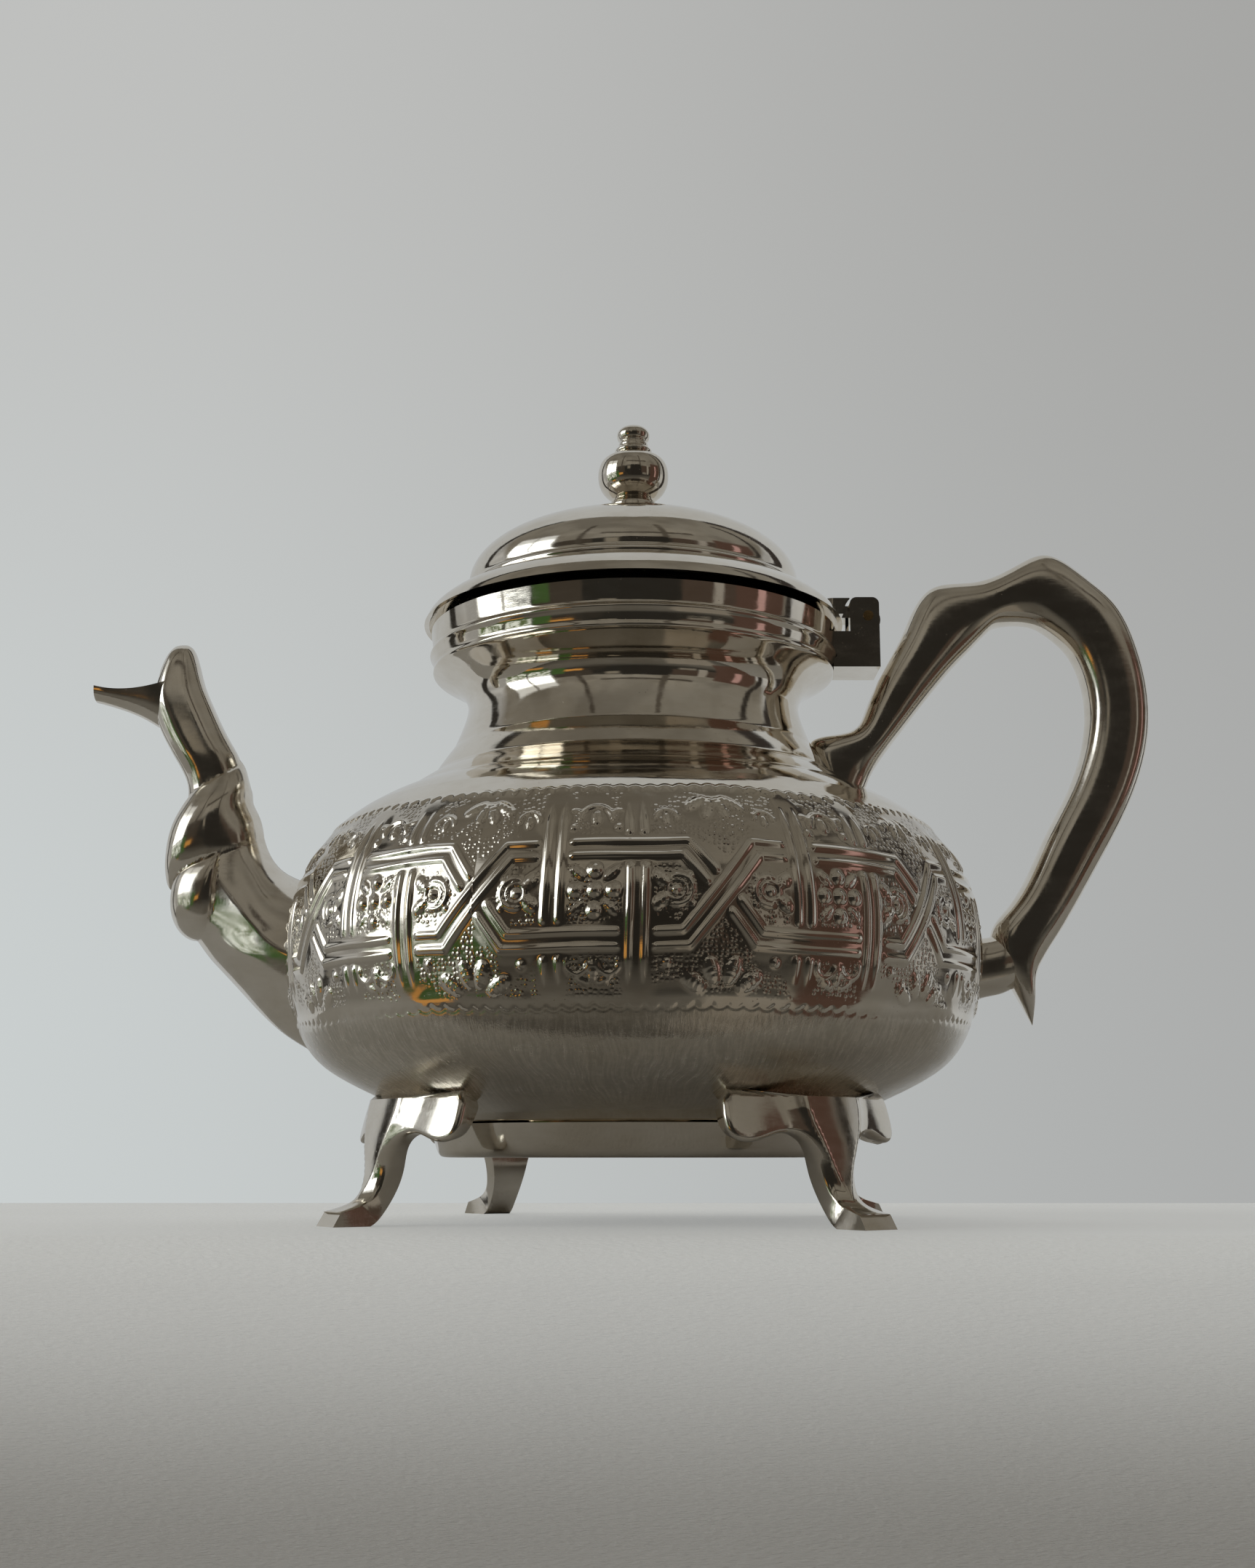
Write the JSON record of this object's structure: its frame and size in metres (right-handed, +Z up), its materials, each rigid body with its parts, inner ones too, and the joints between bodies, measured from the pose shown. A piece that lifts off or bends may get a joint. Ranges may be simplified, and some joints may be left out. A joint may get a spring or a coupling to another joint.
{
  "type": "footed teapot",
  "caption": "Footed metal teapot with an embossed belly, a twisted beaked spout, a cast loop handle and a domed hinged lid.",
  "frame": {"origin": "on the pot's turning axis, at the level that the feet stand on", "axes": "+Z up; +X from the pot's axis towards the handle and the lid hinge, so the spout points along -X; +Y to the back"},
  "size_m": [0.2479, 0.1574, 0.1885],
  "materials": {
    "body_silver": "hand-polished silver plate with fine wiping scratches",
    "cast_silver": "cast and filed silver plate, soft file marks",
    "lid_silver": "spun and polished silver plate",
    "pin_brass": "plain brass pin, dull",
    "screw_steel": "plain steel"
  },
  "bodies": {
    "pot": {"belly_shell": "body_silver", "neck_shell": "body_silver", "base_pan": "body_silver", "leg_front_left": "cast_silver", "leg_front_right": "cast_silver", "leg_back_left": "cast_silver", "leg_back_right": "cast_silver", "spout_front_half": "cast_silver", "spout_back_half": "cast_silver", "handle": "cast_silver", "hinge_block": "cast_silver", "hinge_pin": "pin_brass"},
    "lid": {"lid_shell": "lid_silver", "lid_bezel": "lid_silver", "finial": "cast_silver", "finial_washer": "screw_steel", "finial_screw": "screw_steel", "hinge_leaf": "cast_silver"}
  },
  "joints": [
    {"name": "lid_hinge", "type": "hinge", "parent": "pot", "child": "lid", "pos_m": [0.0552, 0, 0.139], "axis": [0, 1, 0], "range_deg": [0, 100]}
  ]
}
